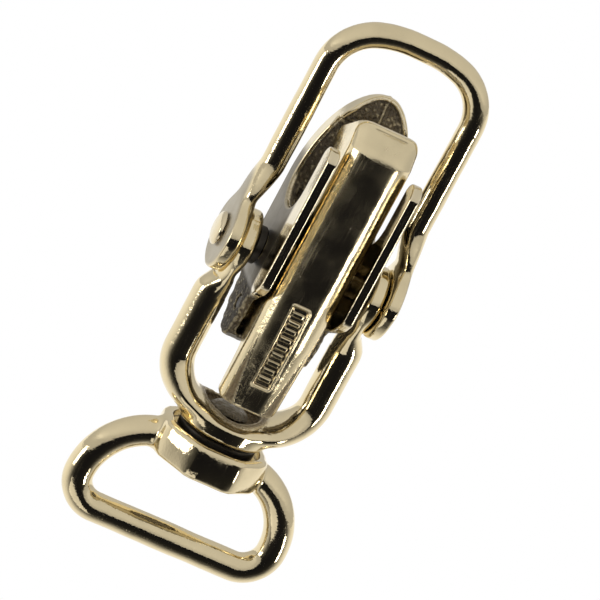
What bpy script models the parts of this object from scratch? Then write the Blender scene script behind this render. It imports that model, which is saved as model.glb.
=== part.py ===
"""Swivel snap shackle with a webbing ring, a fork, a gated hook and a swinging bail.

The part hangs from its webbing ring: +Z points up the pull line to the ring, the hook
and the bail hang below it, X runs along the main axle and -Y is the gate's side.
The origin is the centre of the webbing bar.  Dimensions below are in millimetres and
are turned into metres when a mesh is made.  Heights called "reach" are measured from
the main axle towards the hook's tip (positive) or towards the ring (negative).
"""

import math

import bmesh
import bpy
from mathutils import Vector

MM = 0.001
SIDES = 16

# Webbing ring, for 25 mm webbing.
RING_WIRE = 4.9
RING_HALF_WIDTH = 16.8
RING_CORNER = 4.8
RING_SHOULDER = 11.0
COLLAR_FLATS = 18.0
COLLAR_LOW = -18.9
COLLAR_HIGH = -13.0
COLLAR_POCKET_RADIUS = 7.55
COLLAR_POCKET_DEPTH = 1.4
STEM_HEAD_RADIUS = 4.2
STEM_RADIUS = 2.5
RUNNING_GAP = 0.06
REST_GAP = 0.3

# Fork.
AXLE_DROP = 49.4
FORK_BASE_RADIUS = 7.2
FORK_BASE_THICKNESS = 2.9
FORK_BASE_LOW = -19.8
FORK_ARM = 5.4
FORK_ARM_X = 11.8
FORK_EYE_RADIUS = 5.0
FORK_EYE_INNER = 9.9
FORK_EYE_OUTER = 12.3

# Main axle and the sleeves on it.
AXLE_RADIUS = 2.0
AXLE_HEAD_RADIUS = 2.8
AXLE_HEAD_HEIGHT = 1.0
SLEEVE_RADIUS = 3.1

# Bail.
BAIL_WIRE = 4.0
BAIL_ARM_X = 12.5
BAIL_REACH = 38.8
BAIL_CORNER = 7.5
BAIL_CROWN = 1.9
PADDLE_RADIUS = 6.2
PADDLE_INNER = 12.6
PADDLE_OUTER = 14.9

# Hook body.
HOOK_HALF_WIDTH = 7.9
HOOK_INNER_HALF = 6.25
SPINE_FRONT = 3.8
SPINE_BACK = 7.2
FINGER_FRONT = -10.8
FINGER_DEPTH = 4.6
FINGER_TIP = 21.0
FINGER_ROOT = -4.3
THROAT_BOTTOM = 8.0
HOOK_TIP = 29.0
TIP_LENGTH = 18.0
LOBE_HALF_WIDTH = 7.1
LOBE_INNER_HALF = 5.75

# Gate.
GATE_PIN_Y = 0.3
GATE_PIN_REACH = -9.6
GATE_PIN_RADIUS = 1.25
GATE_HALF_WIDTH = 5.3
GATE_WALL = 1.3
GATE_FRONT = -10.4
SPRING_WIRE = 0.7
SPRING_RADIUS = 2.2
SPRING_TURNS = 4

PLATE = (0.72, 0.66, 0.53, 1.0)
DARK_PLATE = (0.50, 0.46, 0.38, 1.0)
STEEL = (0.56, 0.57, 0.58, 1.0)


def clear_scene():
    """Remove every object that the file opened with."""
    for old in list(bpy.data.objects):
        bpy.data.objects.remove(old, do_unlink=True)


def reach(value):
    """Return the Z of a place that lies value mm past the axle, towards the hook's tip."""
    return -AXLE_DROP - value


def make_material(name, colour, roughness):
    """Make the metal finish of one part."""
    material = bpy.data.materials.new(name)
    material.use_nodes = True
    shader = material.node_tree.nodes["Principled BSDF"]
    shader.inputs["Base Color"].default_value = colour
    shader.inputs["Roughness"].default_value = roughness
    shader.inputs["Metallic"].default_value = 1.0
    return material


def object_from(name, vertices, faces, origin=(0.0, 0.0, 0.0)):
    """Make an object from millimetre points, with its own origin at a millimetre place."""
    home = Vector(origin)
    mesh = bpy.data.meshes.new(name)
    mesh.from_pydata([(Vector(v) - home) * MM for v in vertices], [], faces)
    tidy = bmesh.new()
    tidy.from_mesh(mesh)
    bmesh.ops.recalc_face_normals(tidy, faces=tidy.faces)
    tidy.to_mesh(mesh)
    tidy.free()
    mesh.shade_smooth()
    mesh.set_sharp_from_angle(angle=math.radians(35.0))
    made = bpy.data.objects.new(name, mesh)
    made.location = home * MM
    bpy.context.scene.collection.objects.link(made)
    return made


def stack(name, rings, origin=(0.0, 0.0, 0.0)):
    """Skin a list of equal rings of points and cap both ends."""
    count = len(rings[0])
    vertices = [point for ring in rings for point in ring]
    faces = []
    for level in range(len(rings) - 1):
        low = level * count
        high = low + count
        for i in range(count):
            j = (i + 1) % count
            faces.append((low + i, low + j, high + j, high + i))
    faces.append(tuple(range(count))[::-1])
    faces.append(tuple(range(len(vertices) - count, len(vertices))))
    return object_from(name, vertices, faces, origin)


def turned(name, profile, sides=32, origin=(0.0, 0.0, 0.0)):
    """Turn (radius, z) points about the Z axis through the centre line."""
    rings = []
    for radius, z in profile:
        turn = [2.0 * math.pi * i / sides for i in range(sides)]
        rings.append([(radius * math.cos(a), radius * math.sin(a), z) for a in turn])
    return stack(name, rings, origin)


def turned_x(name, profile, y, z, sides=32, origin=(0.0, 0.0, 0.0)):
    """Turn (x, radius) points about an X axis through the place (y, z)."""
    rings = []
    for x, radius in profile:
        turn = [2.0 * math.pi * i / sides for i in range(sides)]
        rings.append([(x, y + radius * math.cos(a), z + radius * math.sin(a)) for a in turn])
    return stack(name, rings, origin)


def slab_x(name, outline, x_low, x_high, bevel=0.0, origin=(0.0, 0.0, 0.0)):
    """Extrude a (y, z) outline along X, with its two rims chamfered by bevel."""
    centre_y = sum(p[0] for p in outline) / len(outline)
    centre_z = sum(p[1] for p in outline) / len(outline)

    def ring(x, inset):
        points = []
        for y, z in outline:
            away = math.hypot(y - centre_y, z - centre_z)
            keep = 1.0 - inset / away
            points.append((x, centre_y + (y - centre_y) * keep, centre_z + (z - centre_z) * keep))
        return points

    rings = [ring(x_low, bevel)] if bevel else []
    rings.append(ring(x_low + bevel, 0.0))
    rings.append(ring(x_high - bevel, 0.0))
    if bevel:
        rings.append(ring(x_high, bevel))
    return stack(name, rings, origin)


def slab_y(name, outline, y_low, y_high):
    """Extrude an (x, z) outline along Y."""
    return stack(name, [[(x, y, z) for x, z in outline] for y in (y_low, y_high)])


def arc(centre, radius, start, end, steps):
    """Return points on an arc of a plane circle, angles in degrees."""
    points = []
    for i in range(steps + 1):
        angle = math.radians(start + (end - start) * i / steps)
        points.append((centre[0] + radius * math.cos(angle), centre[1] + radius * math.sin(angle)))
    return points


def bar(name, path, sizes, origin=(0.0, 0.0, 0.0)):
    """Carry an oval section along a path in the XZ plane.

    sizes gives each station's half width across the path and half depth along Y.
    """
    rings = []
    last = len(path) - 1
    for i, (x, z) in enumerate(path):
        before = path[max(i - 1, 0)]
        after = path[min(i + 1, last)]
        along = Vector((after[0] - before[0], 0.0, after[1] - before[1])).normalized()
        across = Vector((along.z, 0.0, -along.x))
        half_width, half_depth = sizes[i]
        ring = []
        for k in range(SIDES):
            angle = 2.0 * math.pi * (k + 0.5) / SIDES
            side = across * (half_width * math.cos(angle))
            ring.append((x + side.x, half_depth * math.sin(angle), z + side.z))
        rings.append(ring)
    return stack(name, rings, origin)


def boolean(target, tool, operation):
    """Join a tool to a target, or cut it out, with a live exact Boolean."""
    step = target.modifiers.new(tool.name, "BOOLEAN")
    step.operation = operation
    step.solver = "EXACT"
    step.object = tool
    tool.hide_render = True
    tool.display_type = "WIRE"
    tool.parent = target
    tool.matrix_parent_inverse = target.matrix_basis.inverted()


def cut(target, *tools):
    """Cut tools out of a target."""
    for tool in tools:
        boolean(target, tool, "DIFFERENCE")


def join(target, *tools):
    """Join tools to a target."""
    for tool in tools:
        boolean(target, tool, "UNION")


def finish(made, material):
    """Give a part its finish."""
    made.data.materials.append(material)
    return made


def build_ring():
    """Build the webbing ring and its octagonal swivel collar as one casting."""
    half = RING_WIRE / 2.0
    shoulder_x = RING_HALF_WIDTH - RING_SHOULDER
    corner_x = RING_HALF_WIDTH - RING_CORNER
    right = [(3.9, -RING_CORNER - RING_SHOULDER)]
    right += arc((shoulder_x, -RING_CORNER), RING_SHOULDER, -90.0, 0.0, 9)
    right += arc((corner_x, -RING_CORNER), RING_CORNER, 0.0, 90.0, 6)[1:]
    path = right + [(-x, z) for x, z in reversed(right)]
    loop = bar("ring_loop", path, [(half, half)] * len(path))

    apothem = COLLAR_FLATS / 2.0
    corner = apothem / math.cos(math.radians(22.5))
    edge = 0.6
    levels = (
        (COLLAR_LOW, corner - edge),
        (COLLAR_LOW + edge, corner),
        (COLLAR_HIGH - edge, corner),
        (COLLAR_HIGH, corner - edge),
    )
    rings = []
    for z, radius in levels:
        turn = [math.radians(22.5 + 45.0 * i) for i in range(8)]
        rings.append([(radius * math.cos(a), radius * math.sin(a), z) for a in turn])
    ring = stack("d_ring", rings)
    join(ring, loop)
    pocket_floor = COLLAR_LOW + COLLAR_POCKET_DEPTH
    head_floor = COLLAR_HIGH - 1.9
    bore = STEM_RADIUS + RUNNING_GAP
    head_room = STEM_HEAD_RADIUS + REST_GAP
    cut(
        ring,
        turned(
            "collar_bore",
            (
                (COLLAR_POCKET_RADIUS, COLLAR_LOW - 2.0),
                (COLLAR_POCKET_RADIUS, pocket_floor),
                (bore, pocket_floor + 0.001),
                (bore, head_floor),
                (head_room, head_floor + 0.001),
                (head_room, COLLAR_HIGH + 0.5),
            ),
            48,
        ),
    )
    return finish(ring, make_material("d_ring", PLATE, 0.16))


def build_swivel():
    """Build the riveted swivel stem and the washer between collar and fork."""
    head_low = COLLAR_HIGH - 1.9 + REST_GAP
    washer_high = COLLAR_LOW + COLLAR_POCKET_DEPTH - REST_GAP
    washer_low = FORK_BASE_LOW + REST_GAP
    floor = FORK_BASE_LOW - FORK_BASE_THICKNESS
    stem = turned(
        "swivel_stem",
        (
            (1.2, floor - 1.6),
            (2.6, floor - 1.35),
            (3.5, floor - 0.8),
            (3.6, floor - REST_GAP),
            (STEM_RADIUS, floor - REST_GAP + 0.01),
            (STEM_RADIUS, head_low),
            (STEM_HEAD_RADIUS, head_low + 0.01),
            (STEM_HEAD_RADIUS, COLLAR_HIGH - 0.5),
            (STEM_HEAD_RADIUS - 0.5, COLLAR_HIGH - 0.1),
        ),
        32,
    )
    inner = STEM_RADIUS + 0.2
    outer = 6.5
    washer = turned(
        "swivel_washer",
        ((outer - 0.3, washer_low), (outer, washer_low + 0.3), (outer, washer_high)),
        48,
    )
    cut(washer, turned("washer_bore", ((inner, washer_low - 1.0), (inner, washer_high + 1.0)), 48))
    finish(stem, make_material("swivel_stem", DARK_PLATE, 0.4))
    return finish(washer, make_material("swivel_washer", STEEL, 0.35))


def fork_arm_stations():
    """Return the right arm's centre line and its section sizes, from the eye to the base."""
    half = FORK_ARM / 2.0
    centre_x = (FORK_EYE_INNER + FORK_EYE_OUTER) / 2.0
    eye_half = (FORK_EYE_OUTER - FORK_EYE_INNER) / 2.0
    stations = [
        ((centre_x, reach(-1.0)), (eye_half, 4.0)),
        ((centre_x, reach(-4.0)), (eye_half, 3.4)),
        ((centre_x + 0.05, reach(-6.4)), (eye_half + 0.2, 3.1)),
        ((FORK_ARM_X - 0.25, reach(-8.2)), (half - 0.5, 2.8)),
        ((FORK_ARM_X, reach(-9.8)), (half, half)),
        ((FORK_ARM_X, reach(-13.0)), (half, half)),
        ((FORK_ARM_X, reach(-17.0)), (half, half)),
    ]
    bend = 7.55
    bend_centre = (FORK_ARM_X - bend, reach(-19.4))
    for i, point in enumerate(arc(bend_centre, bend, 0.0, 82.0, 8)):
        spread = (i / 8.0) ** 2
        stations.append((point, (half * (1.0 - 0.22 * spread), half + 2.7 * spread)))
    return stations


def build_fork():
    """Build the U-shaped fork with its two eyes and its swivel base."""
    stations = fork_arm_stations()
    top = FORK_BASE_LOW
    base = turned(
        "fork",
        (
            (FORK_BASE_RADIUS - 1.2, top - FORK_BASE_THICKNESS),
            (FORK_BASE_RADIUS - 0.2, top - FORK_BASE_THICKNESS + 0.6),
            (FORK_BASE_RADIUS, top - 1.2),
            (FORK_BASE_RADIUS - 0.1, top - 0.5),
            (FORK_BASE_RADIUS - 0.6, top),
        ),
        48,
    )
    for side, word in ((1.0, "right"), (-1.0, "left")):
        path = [(side * x, z) for (x, z), size in stations]
        arm = bar("fork_arm_" + word, path, [size for place, size in stations])
        low = FORK_EYE_INNER if side > 0 else -FORK_EYE_OUTER
        high = FORK_EYE_OUTER if side > 0 else -FORK_EYE_INNER
        edge = 0.5
        rim = FORK_EYE_RADIUS
        eye = turned_x(
            "fork_eye_" + word,
            ((low, rim - edge), (low + edge, rim), (high - edge, rim), (high, rim - edge)),
            0.0,
            reach(0.0),
        )
        join(base, arm, eye)
    bore = STEM_RADIUS + RUNNING_GAP
    hollow = 4.3
    floor = top - FORK_BASE_THICKNESS
    cut(
        base,
        turned("fork_stem_bore", ((bore, floor - 4.0), (bore, top + 1.0)), 32),
        turned("fork_hollow", ((hollow + 0.6, floor - 6.0), (hollow, floor)), 32),
        turned_x(
            "fork_axle_bore",
            ((-20.0, AXLE_RADIUS + RUNNING_GAP), (20.0, AXLE_RADIUS + RUNNING_GAP)),
            0.0,
            reach(0.0),
        ),
    )
    return finish(base, make_material("fork", PLATE, 0.16))


def build_axle():
    """Build the riveted axle and the two sleeves that centre the hook in the fork."""
    end = PADDLE_OUTER + 0.2
    head = AXLE_HEAD_HEIGHT
    half = (
        (end, AXLE_RADIUS),
        (end + 0.01, AXLE_HEAD_RADIUS),
        (end + 0.35 * head, AXLE_HEAD_RADIUS - 0.1),
        (end + 0.8 * head, AXLE_HEAD_RADIUS * 0.65),
        (end + head, AXLE_HEAD_RADIUS * 0.3),
    )
    profile = [(-x, r) for x, r in reversed(half)] + list(half)
    axle = turned_x("axle_pin", profile, 0.0, reach(0.0))
    finish(axle, make_material("axle_pin", PLATE, 0.2))
    bore = AXLE_RADIUS + RUNNING_GAP
    inner = HOOK_HALF_WIDTH + REST_GAP
    outer = FORK_EYE_INNER - REST_GAP
    for side, word in ((1.0, "right"), (-1.0, "left")):
        low = min(side * inner, side * outer)
        high = max(side * inner, side * outer)
        sleeve = turned_x(
            word + "_sleeve", ((low, SLEEVE_RADIUS), (high, SLEEVE_RADIUS)), 0.0, reach(0.0)
        )
        hole = ((low - 1.0, bore), (high + 1.0, bore))
        cut(sleeve, turned_x("sleeve_bore_" + word, hole, 0.0, reach(0.0)))
        finish(sleeve, make_material(word + "_sleeve", STEEL, 0.3))


def build_bail():
    """Build the bail: a round wire loop whose ends are forged into eyed paddles."""
    half = BAIL_WIRE / 2.0
    paddle_x = (PADDLE_INNER + PADDLE_OUTER) / 2.0
    right = [
        ((paddle_x, reach(3.0)), (1.1, 4.6)),
        ((paddle_x, reach(6.0)), (1.1, 3.6)),
        ((paddle_x - 0.25, reach(8.0)), (1.35, 2.9)),
        ((paddle_x - 0.7, reach(10.5)), (1.7, 2.3)),
        ((BAIL_ARM_X, reach(13.5)), (half, half)),
        ((BAIL_ARM_X, reach(24.0)), (half, half)),
    ]
    corner_centre = (BAIL_ARM_X - BAIL_CORNER, reach(BAIL_REACH - BAIL_CROWN - BAIL_CORNER))
    corner = arc(corner_centre, BAIL_CORNER, 0.0, -70.0, 7)
    right += [(point, (half, half)) for point in corner]
    right += [((4.0, reach(BAIL_REACH - 0.5)), (half, half)), ((1.6, reach(BAIL_REACH)), (half, half))]
    left = [((-x, z), size) for (x, z), size in reversed(right)]
    whole = right + left
    pivot = (0.0, 0.0, reach(0.0))
    bail = bar("bail", [place for place, size in whole], [size for place, size in whole], pivot)
    for side, word in ((1.0, "right"), (-1.0, "left")):
        low = PADDLE_INNER if side > 0 else -PADDLE_OUTER
        high = PADDLE_OUTER if side > 0 else -PADDLE_INNER
        outline = [(y, reach(-z)) for y, z in arc((0.0, 0.0), PADDLE_RADIUS, 30.0, 150.0, 12)]
        outline += [(y, reach(-z)) for y, z in arc((0.0, 0.0), PADDLE_RADIUS, 150.0, 205.0, 5)[1:]]
        outline += [(-2.7, reach(8.2)), (2.7, reach(8.2))]
        outline += [(y, reach(-z)) for y, z in arc((0.0, 0.0), PADDLE_RADIUS, -25.0, 30.0, 5)[:-1]]
        paddle = slab_x("bail_paddle_" + word, outline, low, high, 0.5)
        join(bail, paddle)
    bore = AXLE_RADIUS + RUNNING_GAP
    cut(bail, turned_x("bail_bore", ((-20.0, bore), (20.0, bore)), 0.0, reach(0.0)))
    return finish(bail, make_material("bail", PLATE, 0.14))


def hook_side_outline():
    """Return the side view of spine and cheeks, without the fingers' proud rails."""
    back = [
        (SPINE_BACK, reach(0.0)),
        (SPINE_BACK, reach(15.0)),
        (6.7, reach(20.5)),
        (5.8, reach(25.0)),
        (4.9, reach(28.0)),
        (4.3, reach(HOOK_TIP)),
        (3.7, reach(28.7)),
    ]
    front = [
        (2.4, reach(25.2)),
        (3.1, reach(22.0)),
        (SPINE_FRONT, reach(18.0)),
        (SPINE_FRONT, reach(13.5)),
    ]
    throat_half = (SPINE_FRONT - FINGER_FRONT - FINGER_DEPTH) / 2.0
    throat_centre = (SPINE_FRONT - throat_half, reach(THROAT_BOTTOM + throat_half))
    throat = arc(throat_centre, throat_half, 0.0, 180.0, 10)
    finger_half = FINGER_DEPTH / 2.0
    finger_centre = (FINGER_FRONT + finger_half, reach(FINGER_TIP - finger_half))
    finger = arc(finger_centre, finger_half, 360.0, 180.0, 8)
    lower = [
        (FINGER_FRONT, reach(FINGER_ROOT + 2.0)),
        (FINGER_FRONT + 0.7, reach(FINGER_ROOT + 0.5)),
        (-9.2, reach(FINGER_ROOT)),
        (-7.0, reach(-5.8)),
        (-4.0, reach(-7.2)),
        (-2.9, reach(-8.8)),
        (-2.7, reach(-11.5)),
        (-2.0, reach(-13.8)),
        (-0.4, reach(-15.0)),
        (2.2, reach(-15.2)),
        (4.6, reach(-14.0)),
        (6.2, reach(-11.0)),
        (6.9, reach(-7.0)),
    ]
    return back + front + throat[1:] + finger + lower


def build_hook():
    """Build the hook body: a spine, two slotted cheeks and the gate's fingers."""
    outline = hook_side_outline()
    pivot = (0.0, 0.0, reach(0.0))
    hook = slab_x("hook_body", outline, -HOOK_HALF_WIDTH, HOOK_HALF_WIDTH, 0.0, pivot)

    tip_start = HOOK_TIP - TIP_LENGTH
    rounding = []
    for i in range(17):
        angle = math.pi * i / 16.0
        x = HOOK_HALF_WIDTH * math.cos(angle)
        rounding.append((x, reach(tip_start + TIP_LENGTH * math.sin(angle))))
    far = HOOK_HALF_WIDTH + 4.0
    frame = [(far, reach(tip_start)), *rounding, (-far, reach(tip_start)), (-far, reach(40.0))]
    frame.append((far, reach(40.0)))
    cut(hook, slab_y("hook_tip_trim", frame, -1.0, 12.0))

    for side, word in ((1.0, "right"), (-1.0, "left")):
        trim = [
            (side * far, reach(-3.5)),
            (side * HOOK_HALF_WIDTH, reach(-4.5)),
            (side * LOBE_HALF_WIDTH, reach(-8.0)),
            (side * (LOBE_HALF_WIDTH - 0.2), reach(-18.0)),
            (side * far, reach(-18.0)),
        ]
        cut(hook, slab_y("hook_lobe_trim_" + word, trim, -14.0, 12.0))

    inner = HOOK_INNER_HALF
    upper_floor = [
        (-14.0, reach(-6.5)),
        (SPINE_FRONT, reach(-6.5)),
        (SPINE_FRONT, reach(23.0)),
        (-14.0, reach(23.0)),
    ]
    lower_floor = [
        (-14.0, reach(-13.8)),
        (1.6, reach(-13.8)),
        (3.6, reach(-11.6)),
        (SPINE_FRONT, reach(-6.4)),
        (-14.0, reach(-6.4)),
    ]
    channel = slab_x("hook_channel", upper_floor, -inner, inner)
    pocket = slab_x("hook_pocket", lower_floor, -LOBE_INNER_HALF, LOBE_INNER_HALF)
    axle_bore = AXLE_RADIUS + RUNNING_GAP
    pin_bore = GATE_PIN_RADIUS + RUNNING_GAP
    pin_place = (GATE_PIN_Y, reach(GATE_PIN_REACH))
    cut(
        hook,
        channel,
        pocket,
        turned_x("hook_axle_bore", ((-10.0, axle_bore), (10.0, axle_bore)), 0.0, reach(0.0)),
        turned_x("hook_pin_bore", ((-10.0, pin_bore), (10.0, pin_bore)), *pin_place, 24),
    )
    return finish(hook, make_material("hook_body", DARK_PLATE, 0.45))


def build_gate():
    """Build the sprung gate lever: a hollow casting with a nose and a thumb tail."""
    y, pin = GATE_PIN_Y, GATE_PIN_REACH
    outline = [
        (-8.7, reach(-22.7)),
        (-9.3, reach(-22.0)),
        (GATE_FRONT, reach(-10.2)),
        (GATE_FRONT, reach(21.6)),
        (-9.6, reach(23.4)),
        (-8.0, reach(25.4)),
        (-7.2, reach(26.6)),
        (-6.2, reach(26.7)),
        (-3.0, reach(24.6)),
        (2.0, reach(22.3)),
        (2.5, reach(19.8)),
        (1.4, reach(18.8)),
        (-5.0, reach(17.6)),
        (-6.0, reach(16.4)),
        (-6.0, reach(-4.6)),
        (-1.6, reach(-7.1)),
    ]
    outline += [(a, b) for a, b in arc((y, reach(pin)), 2.6, -75.0, 75.0, 10)]
    outline += [(-1.6, reach(-12.1)), (-5.0, reach(-13.8)), (-4.9, reach(-22.0)), (-5.4, reach(-22.7))]
    pivot = (0.0, y, reach(pin))
    gate = slab_x("gate_lever", outline, -GATE_HALF_WIDTH, GATE_HALF_WIDTH, 0.0, pivot)
    inner = GATE_HALF_WIDTH - GATE_WALL
    back = GATE_FRONT + GATE_WALL + 0.3
    hollow = [
        (back + 1.3, reach(-21.2)),
        (back, reach(-10.2)),
        (back, reach(16.5)),
        (-3.0, reach(15.0)),
        (5.0, reach(15.0)),
        (5.0, reach(-21.2)),
    ]
    taper = []
    for side in (1.0, -1.0):
        taper.append([
            (side * (GATE_HALF_WIDTH + 2.0), reach(-25.0)),
            (side * (GATE_HALF_WIDTH - 0.6), reach(-25.0)),
            (side * GATE_HALF_WIDTH, reach(0.0)),
            (side * (GATE_HALF_WIDTH + 2.0), reach(0.0)),
        ])
    place = (y, reach(pin))
    boss_reach = LOBE_INNER_HALF - REST_GAP
    bore = GATE_PIN_RADIUS + RUNNING_GAP
    cut(gate, slab_x("gate_hollow", hollow, -inner, inner))
    cut(gate, slab_y("gate_taper_right", taper[0], -14.0, 4.0))
    cut(gate, slab_y("gate_taper_left", taper[1], -14.0, 4.0))
    for side, word in ((1.0, "right"), (-1.0, "left")):
        low = min(side * (inner + 0.3), side * boss_reach)
        high = max(side * (inner + 0.3), side * boss_reach)
        join(gate, turned_x("gate_boss_" + word, ((low, 2.4), (high, 2.4)), *place, 24))
    cut(gate, turned_x("gate_bore", ((-10.0, bore), (10.0, bore)), *place, 24))
    finish(gate, make_material("gate_lever", PLATE, 0.14))

    end = LOBE_HALF_WIDTH - 0.2
    edge = 0.3
    pin_profile = (
        (-end, GATE_PIN_RADIUS - edge),
        (-end + edge, GATE_PIN_RADIUS),
        (end - edge, GATE_PIN_RADIUS),
        (end, GATE_PIN_RADIUS - edge),
    )
    pin_made = turned_x("gate_pin", pin_profile, *place, 24)
    finish(pin_made, make_material("gate_pin", STEEL, 0.3))


def build_spring():
    """Build the gate's torsion spring: a coil on the pin with one leg to each piece."""
    steps = 14
    half_run = 1.8
    y, z = GATE_PIN_Y, reach(GATE_PIN_REACH)
    total = int((SPRING_TURNS + 0.4) * steps)
    start = math.radians(150.0)
    points = []
    for i in range(total + 1):
        share = i / total
        angle = start + 2.0 * math.pi * (SPRING_TURNS + 0.4) * share
        x = -half_run + 2.0 * half_run * share
        points.append(Vector((x, y + SPRING_RADIUS * math.cos(angle), z + SPRING_RADIUS * math.sin(angle))))
    first = points[0]
    last = points[-1]
    lead_in = Vector((first.x, GATE_FRONT + 3.4, reach(-18.0)))
    lead_out = Vector((last.x, SPINE_FRONT - REST_GAP - SPRING_WIRE / 2.0 - 0.1, reach(-5.2)))
    spine = [lead_in, (lead_in + first) / 2.0, *points, (lead_out + last) / 2.0, lead_out]
    rings = []
    for i, point in enumerate(spine):
        along = (spine[min(i + 1, len(spine) - 1)] - spine[max(i - 1, 0)]).normalized()
        across = along.cross(Vector((1.0, 0.0, 0.0))).normalized()
        other = along.cross(across).normalized()
        ring = []
        for k in range(8):
            turn = 2.0 * math.pi * k / 8.0
            offset = across * math.cos(turn) + other * math.sin(turn)
            ring.append(tuple(point + offset * (SPRING_WIRE / 2.0)))
        rings.append(ring)
    spring = stack("gate_spring", rings)
    finish(spring, make_material("gate_spring", STEEL, 0.3))


def main():
    """Build every part of the shackle."""
    clear_scene()
    build_ring()
    build_swivel()
    build_fork()
    build_axle()
    build_bail()
    build_hook()
    build_gate()
    build_spring()


main()
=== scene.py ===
"""Looks of a cast swivel snap: webbing ring, fork, gated hook, swinging bail and rivets.

The five castings are solids written as signed distances in millimetres: a formula
gives each point's distance from the surface, negative inside.  A net of quads is laid
over the zero surface with whole numpy arrays and every vertex is then pulled onto it,
so that soft blends, rounded edges and the granular cast skin are all real geometry.
A grid of two parameters cannot follow the branches between rings, eyes, collars and
arms, so only the turned and coiled pieces are made as such grids.
Up the pull line is +Z, the axle runs along X and the gate is on the -Y side.
"""

import logging
import math
from dataclasses import dataclass, field
from enum import Enum
from typing import Callable, Sequence

import bmesh
import bpy
import numpy as np
from mathutils import Matrix, Vector


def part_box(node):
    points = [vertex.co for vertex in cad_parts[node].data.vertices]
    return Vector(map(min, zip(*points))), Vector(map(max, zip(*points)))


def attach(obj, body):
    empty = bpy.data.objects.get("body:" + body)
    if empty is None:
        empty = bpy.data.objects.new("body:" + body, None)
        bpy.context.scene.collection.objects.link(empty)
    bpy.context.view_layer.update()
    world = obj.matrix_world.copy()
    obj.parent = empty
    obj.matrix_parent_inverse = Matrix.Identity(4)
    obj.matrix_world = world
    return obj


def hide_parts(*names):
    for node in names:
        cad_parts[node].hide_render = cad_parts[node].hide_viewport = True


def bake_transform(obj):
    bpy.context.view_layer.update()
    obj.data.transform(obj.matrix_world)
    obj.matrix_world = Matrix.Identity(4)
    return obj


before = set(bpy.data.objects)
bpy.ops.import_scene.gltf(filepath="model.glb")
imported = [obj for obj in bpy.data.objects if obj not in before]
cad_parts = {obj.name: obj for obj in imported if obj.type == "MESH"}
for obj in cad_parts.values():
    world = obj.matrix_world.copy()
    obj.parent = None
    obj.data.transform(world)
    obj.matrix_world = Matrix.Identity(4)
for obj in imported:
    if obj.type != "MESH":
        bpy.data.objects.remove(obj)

MM = 0.001
LOG = logging.getLogger("snap")

Array = np.ndarray
Solid = Callable[[Array, Array, Array], Array]
Socket = bpy.types.NodeSocket
Colour = tuple[float, float, float]


def node_box(node: str) -> tuple[Array, Array]:
    """Return a CAD node's lowest and highest corners in millimetres."""
    low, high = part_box(node)
    return np.array(low) / MM, np.array(high) / MM


def middle(node: str) -> Array:
    """Return the middle of a CAD node's box in millimetres."""
    low, high = node_box(node)
    return (low + high) / 2.0


AXLE_Z = float(middle("axle_pin")[2])
PIN_Y, PIN_Z = (float(v) for v in middle("gate_pin")[1:])
AXLE_BORE = 2.06
PIN_BORE = 1.31
STEM_BORE = 2.56


# ---------------------------------------------------------------- distance formulas


def soft_union(a: Array, b: Array, width: float) -> Array:
    """Join two solids: the lesser distance, lowered by a parabola where they are within width."""
    near = np.maximum(width - np.abs(a - b), 0.0) / width
    return np.minimum(a, b) - near * near * width * 0.25


def soft_common(a: Array, b: Array, width: float) -> Array:
    """Keep what two solids share, with the same parabola along the edge."""
    return -soft_union(-a, -b, width)


def round_common(a: Array, b: Array, radius: Array | float) -> Array:
    """Keep what two solids share and turn the edge between them with a true radius."""
    over = np.hypot(np.maximum(a + radius, 0.0), np.maximum(b + radius, 0.0))
    return np.minimum(np.maximum(a, b), -radius) + over


def round_cut(a: Array, b: Array, radius: float) -> Array:
    """Take solid b out of solid a, with the rim turned to a radius."""
    return round_common(a, -b, radius)


def ease(value: Array, low: float, high: float) -> Array:
    """Rise smoothly from 0 at low to 1 at high, as 3t^2 - 2t^3."""
    t = np.clip((value - low) / (high - low), 0.0, 1.0)
    return t * t * (3.0 - 2.0 * t)


def oval(u: Array, v: Array, a: Array | float, b: Array | float) -> Array:
    """Distance from an ellipse of half sizes a and b, from its level value over its slope."""
    level = np.hypot(u / a, v / b)
    slope = np.hypot(u / (a * a), v / (b * b))
    return level * (level - 1.0) / np.maximum(slope, 1e-6)


def outline_distance(u: Array, v: Array, corners: Array) -> Array:
    """Distance from a closed outline, negative inside it.

    Formula: the least distance to any side, with its sign from the parity of the sides
    that a ray towards +u crosses.

    Args:
        u: First coordinate of the points.
        v: Second coordinate of the points.
        corners: The outline's corners in order, one row each.

    Returns:
        One distance per point.
    """
    best: Array | float = 1e12
    inside: Array | bool = False
    for (au, av), (bu, bv) in zip(corners, np.roll(corners, -1, axis=0)):
        du, dv = bu - au, bv - av
        share = np.clip(((u - au) * du + (v - av) * dv) / (du * du + dv * dv), 0.0, 1.0)
        best = np.minimum(best, (u - au - share * du) ** 2 + (v - av - share * dv) ** 2)
        if dv != 0.0:
            spans = (av > v) != (bv > v)
            inside = inside ^ (spans & (u < au + (v - av) * du / dv))
    return np.where(inside, -1.0, 1.0) * np.sqrt(best)


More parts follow.
